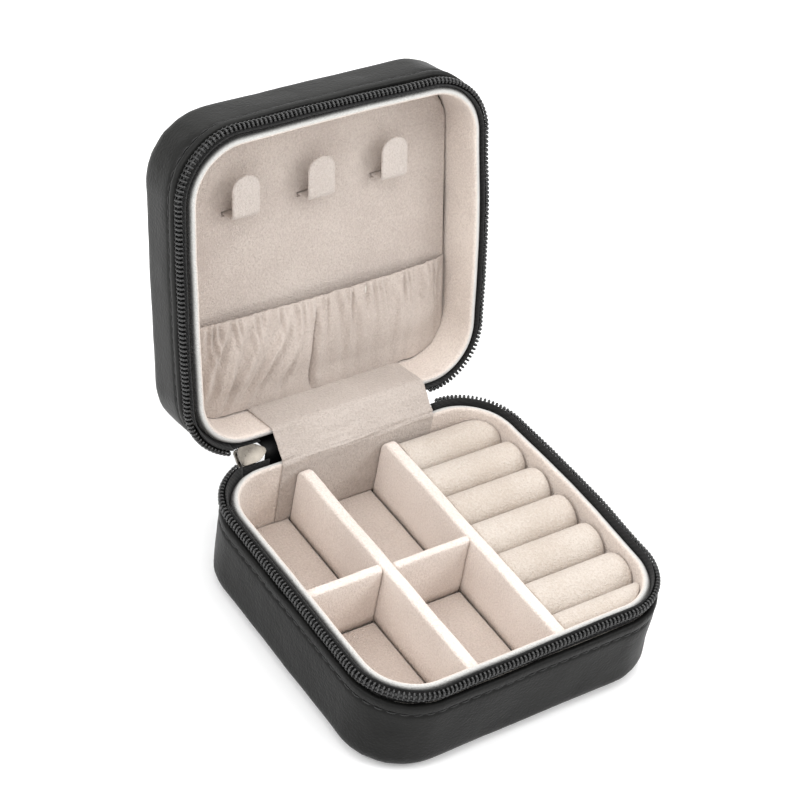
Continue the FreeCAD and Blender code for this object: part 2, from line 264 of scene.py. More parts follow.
def pressed(tree, shader, heights):
    """Bump from one or more (height output, depth in metres) pairs, the finest last."""
    normal = None
    for height, depth in heights:
        bump = add_node(tree, "ShaderNodeBump", Height=height, Distance=depth, Strength=1.0)
        if normal:
            tree.links.new(normal, bump.inputs["Normal"])
        normal = bump.outputs["Normal"]
    tree.links.new(normal, shader.inputs["Normal"])


def leather_finish(name, dark, light):
    """Fine pebbled grain pressed into a satin coating, with faint cloudy patches of wear."""
    material, tree, shader, place = new_material(name)
    clouds = add_node(tree, "ShaderNodeTexNoise", Vector=place, Scale=70.0, Detail=4.0, Roughness=0.6)
    pebble = add_node(tree, "ShaderNodeTexVoronoi", {"feature": "SMOOTH_F1"}, Vector=place, Scale=1500.0)
    creases = add_node(tree, "ShaderNodeTexNoise", Vector=place, Scale=420.0, Detail=3.0, Roughness=0.55)
    coloured(tree, shader, clouds.outputs["Fac"], [(0.3, dark), (0.7, light)])
    shine = add_node(tree, "ShaderNodeMapRange", Value=clouds.outputs["Fac"],
                     From_Min=0.3, From_Max=0.7, To_Min=0.38, To_Max=0.52)
    tree.links.new(shine.outputs["Result"], shader.inputs["Roughness"])
    shader.inputs["IOR"].default_value = 1.25
    shader.inputs["Specular IOR Level"].default_value = 0.4
    pressed(tree, shader, [(creases.outputs["Fac"], 0.0001), (pebble.outputs["Distance"], 0.00008)])
    return material


# Both halves are covered in one black leather. The lid's copy is made lighter: painted light for the light on
# the open lid.
base_leather = leather_finish("base_leather", (0.005, 0.005, 0.0047), (0.012, 0.012, 0.0114))
lid_leather_painted_lighter = leather_finish("lid_leather_painted_lighter", (0.011, 0.011, 0.0105), (0.024, 0.024, 0.023))


def cover_profile(edge, stitch_drop):
    """Across the leather from the middle of the flat face, up the wall, over the fold and back inside."""
    flat = [(18.0, 0.0), (14.0, 0.0), (10.5, 0.0), (7.5, 0.0)]
    turn = [(edge_radius * (1 - math.sin(math.radians(a))), edge_radius * (1 - math.cos(math.radians(a))))
            for a in range(0, 91, 9)]
    wall_top = edge - stitch_drop - 1.3
    rise = int((wall_top - edge_radius) / 1.6)
    wall = [(0.0, edge_radius + (wall_top - edge_radius) * i / rise) for i in range(1, rise + 1)]
    stitch = edge - stitch_drop
    seam = [(0.06, stitch - 0.9), (0.26, stitch - 0.5), (0.46, stitch - 0.15), (0.5, stitch + 0.05),
            (0.4, stitch + 0.3), (0.12, stitch + 0.6), (-0.12, stitch + 0.95), (-0.22, stitch + 1.35),
            (-0.18, edge - 0.85), (-0.05, edge - 0.5), (0.22, edge - 0.16), (0.6, edge),
            (1.1, edge - 0.05), (1.6, edge - 0.3), (1.95, edge - 0.8), (fold_inset, edge - 1.6)]
    inside = [(fold_inset, edge - 5.0), (fold_inset, 6.0), (4.0, 1.4), (18.0, 1.2)]
    return flat + turn + wall + seam + inside


def leather_cover(name, edge, stitch_drop, body, on_lid):
    """One half's leather, with the small waves of a glued skin, puckered a little at the round corners."""
    profile = cover_profile(edge, stitch_drop)
    places = stations(0, outline_length, 1.4)[:-1]
    points, faces = sweep(places, profile, True)
    columns = len(profile)
    bow_out(points, places, columns, on_lid)
    for index, (x, y, z) in enumerate(points):
        outward = places[index // columns][1]
        if profile[index % columns][0] < 3.0:
            at_corner = min(1.0, 2 * abs(outward.x * outward.y))
            push = ripple(x, y, z, 13.0, 0.22) + ripple(x, y, z + 40, 4.5, 0.06)
            push += at_corner * ripple(x * 2, y * 2, z * 0.7, 5.5, 0.3)
            points[index] = (x + outward.x * push, y + outward.y * push, z)
    faces.append([i * columns for i in range(len(places))])
    faces.append([i * columns + columns - 1 for i in range(len(places))])
    # The lid takes the lighter copy of the leather, with its painted light.
    finish = lid_leather_painted_lighter if on_lid else base_leather
    cover = piece(name, points, faces, finish, body, "black_leather", on_lid)
    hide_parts(name.replace("_skin", "_cover"))


leather_cover("base_leather_skin", base_leather_edge, base_stitch_drop, "base", False)
leather_cover("lid_leather_skin", lid_leather_edge, lid_stitch_drop, "lid", True)

thread_black, tree, shader, place = new_material("thread_black")
twist = add_node(tree, "ShaderNodeTexWave", Vector=place, Scale=900.0, Distortion=2.0)
coloured(tree, shader, twist.outputs["Fac"], [(0.2, (0.008, 0.008, 0.008)), (0.8, (0.016, 0.016, 0.016))])
shader.inputs["Roughness"].default_value = 0.55
pressed(tree, shader, [(twist.outputs["Fac"], 0.00005)])

stitch_pitch = 3.6
stitch_length = 2.8
stitch_radius = 0.24


def ring_faces(rings, sides):
    """Faces between each ring of points and the next."""
    faces = []
    for i in range(rings - 1):
        for k in range(sides):
            after = (k + 1) % sides
            faces.append((i * sides + k, i * sides + after, (i + 1) * sides + after, (i + 1) * sides + k))
    return faces


def tube(path, radius, sides, taper=1.0):
    """Points and faces of a round thread along a path, narrower at its two ends."""
    points = []
    for i, point in enumerate(path):
        ahead = path[min(i + 1, len(path) - 1)] - path[max(i - 1, 0)]
        across = ahead.cross(Vector((0, 0, 1)))
        if across.length < 1e-6:
            across = ahead.cross(Vector((1, 0, 0)))
        across.normalize()
        over = across.cross(ahead).normalized()
        size = radius * (taper if i in (0, len(path) - 1) else 1.0)
        for k in range(sides):
            angle = 2 * math.pi * k / sides
            points.append(point + (across * math.cos(angle) + over * math.sin(angle)) * size)
    faces = ring_faces(len(path), sides)
    faces.append(list(range(sides))[::-1])
    faces.append([(len(path) - 1) * sides + k for k in range(sides)])
    return points, faces


def gather(parts):
    """Several lists of points and faces as one."""
    points, faces = [], []
    for some_points, some_faces in parts:
        first = len(points)
        points += some_points
        faces += [[first + i for i in face] for face in some_faces]
    return points, faces


def stitching(name, edge, stitch_drop, body, on_lid):
    """The row of stitches, each a short thread that dips into the groove at both its ends."""
    parts = []
    count = int(outline_length / stitch_pitch)
    for number in range(count):
        start = outline_length * number / count
        path = []
        for i in range(6):
            share = i / 5
            where, outward = outline_at(start + stitch_length * share)
            inset = 0.5 - 0.26 * math.sin(math.pi * share) - bowed(where.x, where.y, on_lid)
            slant = 0.18 * (share - 0.5)
            path.append(Vector((where.x - outward.x * inset, where.y - outward.y * inset,
                                edge - stitch_drop + slant)))
        parts.append(tube(path, stitch_radius, 6, 0.45))
    piece(name, *gather(parts), thread_black, body, "black_leather", on_lid)


stitching("base_stitching", base_leather_edge, base_stitch_drop, "base", False)
stitching("lid_stitching", lid_leather_edge, lid_stitch_drop, "lid", True)

# ---- Zip -----------------------------------------------------------------------------------------------
# A black nylon coil zip runs round three sides. Its woven tape is glued between the board and the lining,
# and stands above both. The coil is a row of wire loops sewn along the outside of the tape's edge.
start_turn = math.radians(19.0)
end_gap = 28.5
zip_start = side_x + start_turn * corner_radius
zip_end = outline_length - end_gap
tape_outer = 2.15
tape_inner = 2.55
tape_foot = {"base": 14.0, "lid": 13.4}
leather_edge = {"base": base_leather_edge, "lid": lid_leather_edge}
closed_gap = 0.2
base_teeth = hinge_axis.z - closed_gap
lid_teeth = lid_depth - closed_gap
tooth_pitch = 1.33
coil_height = 2.7
wire_radius = 0.38
core_radius = 0.34
seam_thread_radius = 0.12
wire_loop = [(0.84, 0.0, -0.05), (0.6, 0.7, -0.03), (0.54, 1.3, 0.0), (0.62, 1.85, 0.0), (0.86, 2.25, 0.0),
             (1.15, 2.4, 0.0), (1.44, 2.25, 0.0), (1.66, 1.8, 0.02), (1.74, 1.2, 0.05), (1.76, 0.0, 0.1)]


def zip_lean(x, y):
    """How far the free edge of the tape leans outwards: most along the left side, with a slow wave."""
    return 0.45 - 0.8 * max(-1.0, min(0.5, x / 45)) + ripple(x, y, 0, 17.0, 0.3)


zip_tape, tree, shader, place = new_material("zip_tape")
along_weave = add_node(tree, "ShaderNodeTexWave", {"bands_direction": "Z"}, Vector=place,
                       Scale=420.0, Distortion=0.6)
cross_weave = add_node(tree, "ShaderNodeTexWave", {"bands_direction": "DIAGONAL"}, Vector=place,
                       Scale=380.0, Distortion=0.8)
weave = add_node(tree, "ShaderNodeMath", {"operation": "MULTIPLY"})
tree.links.new(along_weave.outputs["Fac"], weave.inputs[0])
tree.links.new(cross_weave.outputs["Fac"], weave.inputs[1])
coloured(tree, shader, weave.outputs["Value"], [(0.1, (0.004, 0.004, 0.004)), (0.7, (0.013, 0.013, 0.013))])
shader.inputs["Roughness"].default_value = 0.85
shader.inputs["Sheen Weight"].default_value = 0.1
pressed(tree, shader, [(weave.outputs["Value"], 0.0001)])

zip_teeth, tree, shader, place = new_material("zip_teeth")
rub = add_node(tree, "ShaderNodeTexNoise", Vector=place, Scale=500.0, Detail=2.0)
coloured(tree, shader, rub.outputs["Fac"], [(0.35, (0.006, 0.006, 0.006)), (0.7, (0.016, 0.016, 0.016))])
shader.inputs["Roughness"].default_value = 0.2
shader.inputs["Specular IOR Level"].default_value = 0.65
pressed(tree, shader, [(rub.outputs["Fac"], 0.00003)])


def tape(name, teeth, body, on_lid, replaced):
    """One half's woven tape, upright behind the leather. Its free edge leans outwards in slow waves."""
    top = teeth - 0.6
    low = tape_foot[body]
    outer = [(tape_outer, low + (top - low) * i / 12) for i in range(13)]
    inner = [(tape_inner, low + (top - low) * i / 12) for i in range(12, -1, -1)]
    profile = outer + [(tape_outer + 0.1, top + 0.12), (tape_inner - 0.1, top + 0.12)] + inner
    places = stations(zip_start, zip_end, 1.2)
    points, faces = sweep(places, profile + profile[:1], False)
    columns = len(profile) + 1
    bow_out(points, places, columns, on_lid)
    for index, (x, y, z) in enumerate(points):
        outward = places[index // columns][1]
        free = max(0.0, (z - leather_edge[body]) / 5.0)
        lean = zip_lean(x, y) * min(free, 1.0)
        points[index] = (x + outward.x * lean, y + outward.y * lean, z + ripple(x, y, 9, 11.0, 0.12) * free)
    faces.append(list(range(columns)))
    faces.append([len(points) - columns + k for k in range(columns)])
    made = piece(name, points, faces, zip_tape, body, "zip_tape", on_lid)
    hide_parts(replaced)


tape("base_tape", base_teeth, "base", False, "base_zip_tape")
tape("lid_tape", lid_teeth, "lid", True, "lid_zip_tape")


def coil(name, teeth, body, on_lid, replaced):
    """One half's row of wire loops, with the cord inside them and the thread that sews them to the tape."""
    parts = []
    count = int((zip_end - zip_start - 2.0) / tooth_pitch)
    bottom = teeth - coil_height
    for number in range(count):
        where, outward = outline_at(zip_start + 1.0 + tooth_pitch * number)
        along = Vector((-outward.y, outward.x, 0))
        lean = zip_lean(where.x, where.y) + bowed(where.x, where.y, on_lid)
        lift = ripple(where.x, where.y, 9, 11.0, 0.12)
        path = []
        for inset, height, shift in wire_loop:
            inset -= lean
            path.append(Vector((where.x - outward.x * inset, where.y - outward.y * inset,
                                bottom + height - wire_radius + lift)) + along * shift)
        parts.append(tube(path, wire_radius, 7))
    for inset, height, radius in ((1.24, 0.75, core_radius), (0.6, 0.1, seam_thread_radius)):
        places = stations(zip_start + 0.5, zip_end - 0.5, 1.2)
        path = []
        for where, outward in places:
            lean = inset - zip_lean(where.x, where.y) - bowed(where.x, where.y, on_lid)
            path.append(Vector((where.x - outward.x * lean, where.y - outward.y * lean, bottom + height)))
        parts.append(tube(path, radius, 8))
    made = piece(name, *gather(parts), zip_teeth, body, "zip_teeth", on_lid)
    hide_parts(replaced)


coil("base_coil", base_teeth, "base", False, "base_zip_coil")
coil("lid_coil", lid_teeth, "lid", True, "lid_zip_coil")

# ---- Lining walls --------------------------------------------------------------------------------------
# A strip of card covered in cream velvet lines each half, glued inside the zip tape. Its top edge is a soft
# rolled rim that stands a little above the leather. A painted highlight whitens the rim's crown and outer
# side, and painted shade darkens its outer side beside the coil.
base_floor = 7.1
base_rim = 29.3
lid_panel_height = 9.3
lid_rim = 22.8
lining_outer = 2.6
lining_inner = 5.2


def painted_over(tree, colour, paint_name, paint):
    """A colour with another laid over it where the piece's points are painted."""
    painted = add_node(tree, "ShaderNodeAttribute", {"attribute_name": paint_name}).outputs["Fac"]
    mix = add_node(tree, "ShaderNodeMix", {"data_type": "RGBA"})
    tree.links.new(painted, mix.inputs["Factor"])
    tree.links.new(colour, mix.inputs[6])
    mix.inputs[7].default_value = (*paint, 1.0)
    return mix.outputs[2]


def velvet_finish(name, shade, light, rim=None):
    """Short flocked pile: a fine mottled nap with a soft sheen. The rim gets a painted highlight and painted
    shade.
    """
    material, tree, shader, place = new_material(name)
    nap = add_node(tree, "ShaderNodeTexNoise", Vector=place, Scale=1700.0, Detail=3.0, Roughness=0.55)
    brushed = add_node(tree, "ShaderNodeTexNoise", Vector=place, Scale=45.0, Detail=2.0)
    pile = add_node(tree, "ShaderNodeTexNoise", Vector=place, Scale=4200.0, Detail=2.0)
    both = add_node(tree, "ShaderNodeMath", {"operation": "MULTIPLY_ADD"})
    tree.links.new(nap.outputs["Fac"], both.inputs[0])
    both.inputs[1].default_value = 0.6
    softened = add_node(tree, "ShaderNodeMath", {"operation": "MULTIPLY"})
    tree.links.new(brushed.outputs["Fac"], softened.inputs[0])
    softened.inputs[1].default_value = 0.4
    tree.links.new(softened.outputs["Value"], both.inputs[2])
    colour = colour_steps(tree, both.outputs["Value"], [(0.4, shade), (0.6, light)])
    if rim:
        # Painted highlight on the rim, then painted shade near black at its outer edge beside the coil.
        colour = painted_over(tree, colour, "rim", rim)
        colour = painted_over(tree, colour, "edge", (0.03, 0.03, 0.03))
    tree.links.new(colour, shader.inputs["Base Color"])
    shader.inputs["Roughness"].default_value = 0.92
    shader.inputs["Specular IOR Level"].default_value = 0.25
    shader.inputs["Sheen Weight"].default_value = 0.35
    shader.inputs["Sheen Roughness"].default_value = 0.45
    shader.inputs["Sheen Tint"].default_value = (1.0, 0.96, 0.92, 1.0)
    pressed(tree, shader, [(nap.outputs["Fac"], 0.0005), (pile.outputs["Fac"], 0.00014)])
    return material


# The last colour is the painted highlight laid over the rim's crown and outer side.
lining_velvet = velvet_finish("lining_velvet", (0.68, 0.59, 0.53), (0.83, 0.74, 0.67), (0.63, 0.625, 0.605))


def eased(share):
    """A share held between 0 and 1, with a soft start and end."""
    share = min(max(share, 0.0), 1.0)
    return share * share * (3 - 2 * share)


def lining_wall(name, floor, rim, body, on_lid, replaced):
    """One half's lining: up the inside, over the rolled rim, and down behind the zip tape."""
    inner = [(lining_inner, floor - 1.5 + (rim - 1.2 - floor + 1.5) * i / 12) for i in range(13)]
    over = []
    for a in range(12, 91, 13):
        angle = math.radians(a)
        over.append((lining_inner - 0.85 + 0.85 * math.cos(angle), rim - 0.95 + 0.95 * math.sin(angle)))
    for a in range(8, 91, 8):
        angle = math.radians(a)
        over.append((lining_inner - 0.85 - 1.6 * math.sin(angle), rim - 1.9 + 1.9 * math.cos(angle)))
    outer = [(lining_outer + 0.1, rim - 4.0), (lining_outer, rim - 9.0), (lining_outer, floor - 1.5)]
    profile = inner + over + outer
    places = stations(0, outline_length, 1.5)[:-1]
    points, faces = sweep(places, profile + profile[:1], True)
    columns = len(profile) + 1
    # Shares of painted highlight over the rim's crown and outer side, and of painted shade on its outer side
    # by the coil.
    painted_highlight, painted_shade = [], []
    for index in range(len(points)):
        inset, height = (profile + profile[:1])[index % columns]
        near_rim = height > rim - 5
        painted_highlight.append(eased((lining_inner - 0.25 - inset) / 0.8) if near_rim else 0.0)
        painted_shade.append(eased((4.0 - inset) / 1.1) if near_rim else 0.0)
    bow_out(points, places, columns, on_lid)
    for index, (x, y, z) in enumerate(points):
        outward = places[index // columns][1]
        push = ripple(x, y, z, 16.0, 0.16) + ripple(x, y, z + 30, 5.0, 0.05)
        push += 0.12 * noise.noise(Vector((x / 3.0, y / 3.0, z / 30.0))) * min(1.0, max(0.0, (rim - z) / 4))
        points[index] = (x + outward.x * push, y + outward.y * push, z + ripple(x, y, 5, 14.0, 0.12))
    made = piece(name, points, faces, lining_velvet, body, "lining_velvet", on_lid)
    for paint_name, shares in (("rim", painted_highlight), ("edge", painted_shade)):
        paint = made.data.attributes.new(paint_name, "FLOAT", "POINT")
        for index, share in enumerate(shares):
            paint.data[index].value = share
    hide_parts(replaced)


lining_wall("base_lining", base_floor, base_rim, "base", False, "base_lining_wall")
lining_wall("lid_lining", lid_panel_height, lid_rim, "lid", True, "lid_lining_wall")

# ---- Floor cards and lid panel -------------------------------------------------------------------------
# Each compartment has a velvet-covered card for its floor, cut a hair small, so a dark line shows round it.
# The lid's panel is one such card, with a slit for each hook.
divider_left_x = (-20.1, -16.2)
divider_right_x = (8.8, 12.8)
cross_left_y = (-2.2, 0.9)
cross_middle_y = (-2.8, -0.2)
card_gap = 0.3
card_round = 0.5
card_step = 1.6
hook_slit_y = -18.8
hook_width = 8.7
hook_centres = (-25.4, -1.0, 23.4)

# Painted light and shade: the lining, floor, divider, panel, hook, pocket and flap velvets are copies of one
# cream velvet, each made lighter or darker to match how brightly its part is lit. The lining, floor and
# divider copies are lighter than the lid's panel, hook, pocket and flap copies.
floor_velvet = velvet_finish("floor_velvet", (0.59, 0.50, 0.445), (0.72, 0.63, 0.57))
panel_velvet = velvet_finish("panel_velvet", (0.485, 0.415, 0.375), (0.595, 0.525, 0.475))


def inside_corner(x, y, inset):
    """Pull a point in to the rounded corner of the lining, and give its distance from the corner's curve."""
    reach = corner_radius - inset
    from_x = abs(x) - side_x
    from_y = abs(y) - side_y
    if from_x <= 0 or from_y <= 0:
        return x, y, reach
    far = math.hypot(from_x, from_y)
    if far > reach:
        from_x *= reach / far
        from_y *= reach / far
        return (math.copysign(side_x + from_x, x), math.copysign(side_y + from_y, y), 0.0)
    return x, y, reach - far


def spread(low, high, step, edge):
    """Places from low to high, closer together beside the two edges."""
    near = [0.0, edge * 0.15, edge * 0.4, edge * 0.8]
    count = max(2, round((high - low - 2 * edge) / step))
    middle = [low + edge + (high - low - 2 * edge) * i / count for i in range(count + 1)]
    return [low + d for d in near] + middle + [high - d for d in reversed(near)]


def card(x_range, y_range, top, step, slits=()):
    """A covered card as a soft-edged sheet, with its sides going down out of sight."""
    left, right = x_range[0] + card_gap, x_range[1] - card_gap
    front, back = y_range[0] + card_gap, y_range[1] - card_gap
    xs = spread(left, right, step, card_round)
    ys = spread(front, back, step, card_round)
    if slits:
        ys = sorted(ys + [hook_slit_y + d for d in (-1.3, -1.0, -0.8, -0.7, 0.0, 0.7, 0.8, 1.0, 1.3)])
        for centre in slits:
            for sign in (-1, 1):
                xs += [centre + sign * (hook_width / 2 + d) for d in (-0.2, 0.1, 0.25, 0.5)]
        xs.sort()
    points = []
    for y in ys:
        for x in xs:
            px, py, corner = inside_corner(x, y, lining_inner + card_gap)
            edge = min(x - left, right - x, y - front, back - y, corner)
            drop = 0.0
            if edge < card_round:
                drop = card_round - math.sqrt(max(0.0, card_round ** 2 - (card_round - edge) ** 2))
            if edge <= 1e-6:
                drop = 1.2
            for centre in slits:
                within = hook_width / 2 + 0.2 - abs(x - centre)
                across = 0.6 - abs(y - hook_slit_y)
                if within > -0.35 and across > -0.5:
                    drop = max(drop, min(1.6, max(0.0, min(within + 0.35, across + 0.15) * 5.0)))
            points.append((px, py, top - drop + ripple(px, py, top, 9.0, 0.1)))
    columns = len(xs)
    faces = []
    for j in range(len(ys) - 1):
        for i in range(columns - 1):
            face = (j * columns + i, j * columns + i + 1, (j + 1) * columns + i + 1, (j + 1) * columns + i)
            if min(top - points[index][2] for index in face) < 1.45:
                faces.append(face)
    return points, faces


wall_x = half_width - lining_inner
wall_y = half_depth - lining_inner
floor_cards = gather([
    card((-wall_x, divider_left_x[0]), (cross_left_y[1], wall_y), base_floor, card_step),
    card((-wall_x, divider_left_x[0]), (-wall_y, cross_left_y[0]), base_floor, card_step),
    card((divider_left_x[1], divider_right_x[0]), (cross_middle_y[1], wall_y), base_floor, card_step),
    card((divider_left_x[1], divider_right_x[0]), (-wall_y, cross_middle_y[0]), base_floor, card_step),
    card((divider_right_x[1], wall_x), (-wall_y, wall_y), base_floor, 3.0),
])
floor = piece("base_floor_cards", *floor_cards, floor_velvet, "base", "lining_velvet")
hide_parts("base_floor_panel")
panel_card = card((-wall_x, wall_x), (-wall_y, wall_y), lid_panel_height, 1.2, hook_centres)
panel = piece("lid_panel_card", *panel_card, panel_velvet, "lid", "lining_velvet", True)
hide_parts("lid_panel")

# ---- Dividers ------------------------------------------------------------------------------------------
# Four boards with velvet glued over both faces and the top. The two long ones run from front to back, and
# the short ones stand between them. The long boards' back top corners are rounded off.
divider_top = 26.8
divider_back = 42.9
divider_foot = base_floor - 0.5
edge_softness = 0.95
back_round = 3.0
# The divider copy of the cream velvet is made lighter: painted light.
divider_velvet = velvet_finish("divider_velvet", (0.75, 0.655, 0.595), (0.88, 0.79, 0.725))


def skin_faces(rings, sides):
    """Faces between each ring of points and the next, and one over each end."""
    faces = []
    for i in range(rings - 1):
        for j in range(sides):
            after = (j + 1) % sides
            faces.append((i * sides + j, (i + 1) * sides + j, (i + 1) * sides + after, i * sides + after))
    faces.append(list(range(sides)))
    faces.append([(rings - 1) * sides + j for j in range(sides)])
    return faces


def divider(name, start, end, thickness, round_back):
    """A covered board on edge between two points of its centre line on the floor."""
    start, end = Vector((*start, 0)), Vector((*end, 0))
    length = (end - start).length
    along = (end - start) / length
    across = Vector((-along.y, along.x, 0))
    half = thickness / 2
    distances = [0.0, 0.25, 0.7] + [1.5 + (length - 3.0) * i / 50 for i in range(51)]
    distances += [length - 0.7, length - 0.25, length]
    if round_back:
        distances += [length - d for d in (2.6, 2.2, 1.8, 1.1, 0.45, 0.1)]
    distances.sort()
    points = []
    for distance_along in distances:
        from_end = length - distance_along
        top = divider_top
        if round_back and from_end < back_round:
            top -= back_round - math.sqrt(back_round ** 2 - (back_round - from_end) ** 2)
        near = min(distance_along, from_end)
        pinch = 0.22 * max(0.0, 1 - near / 0.5) ** 2
        reach = half - pinch
        rise = top - edge_softness - base_floor + 0.5
        loop = [(-reach, divider_foot + rise * i / 6) for i in range(7)]
        for a in range(15, 180, 15):
            angle = math.radians(180 - a)
            shoulder = reach - edge_softness
            x = math.cos(angle) * edge_softness + (shoulder if angle < math.pi / 2 else -shoulder)
            loop.append((x, top - edge_softness + math.sin(angle) * edge_softness))
        loop += [(reach, divider_foot + rise * i / 6) for i in range(6, -1, -1)]
        for offset, height in loop:
            at = start + along * distance_along
            sway = ripple(at.x, at.y, height, 14.0, 0.22) + ripple(at.x, at.y, height + 50, 5.0, 0.06)
            at = at + across * (offset + sway)
            points.append((at.x, at.y, height + ripple(at.x, at.y, 3, 12.0, 0.12)))
    columns = len(points) // len(distances)
    made = piece(name + "_board", points, skin_faces(len(distances), columns), divider_velvet, "base",
                 "divider_velvet")
    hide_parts(name)


front_end = -(wall_y - 0.12)
left_end = -(wall_x - 0.12)
long_middle = [sum(x) / 2 for x in (divider_left_x, divider_right_x)]
divider("divider_left", (long_middle[0], front_end), (long_middle[0], divider_back),
        thickness=3.8, round_back=True)
divider("divider_right", (long_middle[1], front_end), (long_middle[1], divider_back),
        thickness=3.9, round_back=True)
cross_left_middle = sum(cross_left_y) / 2
cross_middle_middle = sum(cross_middle_y) / 2
divider("cross_divider_left", (left_end, cross_left_middle), (divider_left_x[0] - 0.3, cross_left_middle),
        thickness=3.0, round_back=False)
divider("cross_divider_middle", (divider_left_x[1] + 0.12, cross_middle_middle),
        (divider_right_x[0] - 0.25, cross_middle_middle), thickness=2.6, round_back=False)

# ---- Ring rolls ----------------------------------------------------------------------------------------
# Seven strips of foam, each wrapped in a warmer, softer velvet, stand side by side on the floor. Rings are
# pressed between them. They swell a little where they are free, and fit the round corners of the tray.
roll_count = 7
roll_gap = 0.18
roll_length = 31.0
roll_velvet = velvet_finish("roll_velvet", (0.535, 0.46, 0.395), (0.635, 0.57, 0.51))


def ring_roll(number):
    """One roll: a tall strip with a half-round top, numbered from the back."""
    low, high = (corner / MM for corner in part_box("ring_roll_" + str(number + 1)))
    middle = (low.y + high.y) / 2
    radius = (high.y - low.y) / 2 + 0.06
    centre_height = divider_top - radius
    left = divider_right_x[1] + 0.1
    section = [(-1.0, base_floor - centre_height), (-1.0, (base_floor - centre_height) / 2)]
    for a in range(0, 181, 7):
        angle = math.radians(180 - a)
        section.append((math.cos(angle), math.sin(angle) * radius))
    section += [(1.0, (base_floor - centre_height) / 2), (1.0, base_floor - centre_height)]
    shares = [0.0, 0.004, 0.015, 0.035, 0.06] + [0.1 + 0.8 * i / 26 for i in range(27)]
    shares += [0.94, 0.965, 0.985, 0.996, 1.0]
    points = []
    for share in shares:
        near = min(share, 1 - share) * roll_length
        tuck = 0.55 * max(0.0, 1 - near) ** 2.2
        for across, height in section:
            y = middle + across * radius
            reach = wall_x - roll_gap
            beyond = abs(y) - side_y
            if beyond > 0:
                bend = corner_radius - lining_inner - roll_gap
                reach = side_x + math.sqrt(max(0.0, bend ** 2 - min(beyond, bend) ** 2))
            x = left + (reach - left) * share
            swell = ripple(x, y + number * 7.7, height, 8.0, 0.35) + ripple(x, y, height + 20, 2.6, 0.08)
            y -= across * (tuck + max(swell, -0.3) * 0.4)
            lift = (swell * 0.8 - tuck) * max(0.0, height / radius)
            points.append((x, y, centre_height + height + lift))
    faces = skin_faces(len(shares), len(section))
    made = piece("roll_" + str(number + 1), points, faces, roll_velvet, "base", "roll_velvet")
    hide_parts("ring_roll_" + str(number + 1))


for number in range(roll_count):
    ring_roll(number)

# ---- Hooks ---------------------------------------------------------------------------------------------
# Three J-shaped tongues of stiff card under velvet. A leg is glued behind the lid panel, the strip comes
# out through its slit, bends up, and ends in a round-topped tongue that a necklace hangs on.
hook_top_y = -31.3
tongue_height = lid_panel_height + 4.9
hook_thickness = 1.15
hook_bend = 1.5
# The hook copy of the cream velvet is made darker: painted shade.
hook_velvet = velvet_finish("hook_velvet", (0.51, 0.45, 0.41), (0.60, 0.54, 0.50))


def hook_path():
    """The middle line of the strip, as (y, height) points from behind the panel to the tongue's top."""
    back = lid_panel_height - 2.5
    path = [(hook_slit_y + 6.0, back), (hook_slit_y + hook_bend, back)]
    for a in range(15, 91, 15):
        angle = math.radians(a)
        path.append((hook_slit_y + hook_bend * (1 - math.sin(angle)),
                     back + hook_bend * (1 - math.cos(angle))))
    path.append((hook_slit_y, tongue_height - hook_bend))
    for a in range(15, 91, 15):
        angle = math.radians(a)
        path.append((hook_slit_y - hook_bend * (1 - math.cos(angle)),
                     tongue_height - hook_bend * (1 - math.sin(angle))))
    straight_top = hook_slit_y - hook_bend
    for i in range(1, 13):
        share = i / 12
        path.append((straight_top + (hook_top_y - straight_top) * i / 12, tongue_height + 0.35 * share ** 2))
    return path


def hook(name, centre):
    """One hook: a soft-edged strip along its path, narrowing to the round top of the tongue."""
    path = hook_path()
    dense = []
    for (y, height), (next_y, next_height) in zip(path, path[1:]):
        dense += [(y, height), ((y + next_y) / 2, (height + next_height) / 2)]
    dense.append(path[-1])
    points = []
    sides = 20
    for index, (y, height) in enumerate(dense):
        before = dense[max(index - 1, 0)]
        after = dense[min(index + 1, len(dense) - 1)]
        ahead = Vector((after[0] - before[0], after[1] - before[1])).normalized()
        normal = Vector((-ahead.y, ahead.x))
        half = hook_width / 2
        from_top = y - hook_top_y
        if height > lid_panel_height and from_top < half:
            half = math.sqrt(max(0.0, half ** 2 - (half - from_top) ** 2))
        half = max(half, 0.25)
        for k in range(sides):
            angle = 2 * math.pi * k / sides
            across, through = math.cos(angle), math.sin(angle)
            x = math.copysign(abs(across) ** 0.25, across) * half
            depth = math.copysign(abs(through) ** 0.8, through) * hook_thickness / 2
            points.append((centre + x, y + normal.x * depth, height + normal.y * depth))
    faces = ring_faces(len(dense), sides)
    faces.append(list(range(sides)))
    faces.append([len(points) - sides + k for k in range(sides)])
    made = piece(name + "_tongue", points, faces, hook_velvet, "lid", "hook_velvet", True)
    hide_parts(name)


for name, centre in zip(("hook_left", "hook_middle", "hook_right"), hook_centres):
    hook(name, centre)

# ---- Pocket --------------------------------------------------------------------------------------------
# A strip of velvet, wider than the panel, is gathered by an elastic in its top hem and glued down at its
# other three edges. It puffs off the panel, and pleats fan down from the hem.
pocket_top = 12.5
pocket_bottom = 43.2
pocket_half = 44.35
pocket_drop = pocket_bottom - pocket_top
# The pocket copy of the cream velvet is made darker: painted shade.
pocket_velvet = velvet_finish("pocket_velvet", (0.495, 0.425, 0.38), (0.60, 0.525, 0.475))


def pocket_puff(x, share):
    """How far the cloth stands off the panel before it is pleated. Share goes from the hem to the foot."""
    across = max(0.0, 1 - (x / pocket_half) ** 2)
    down = 1.0 + 0.35 * math.sin(math.pi * min(1.0, share * 1.3)) - 0.75 * share ** 2.5
    return (0.5 + 3.2 * across ** 0.45) * down


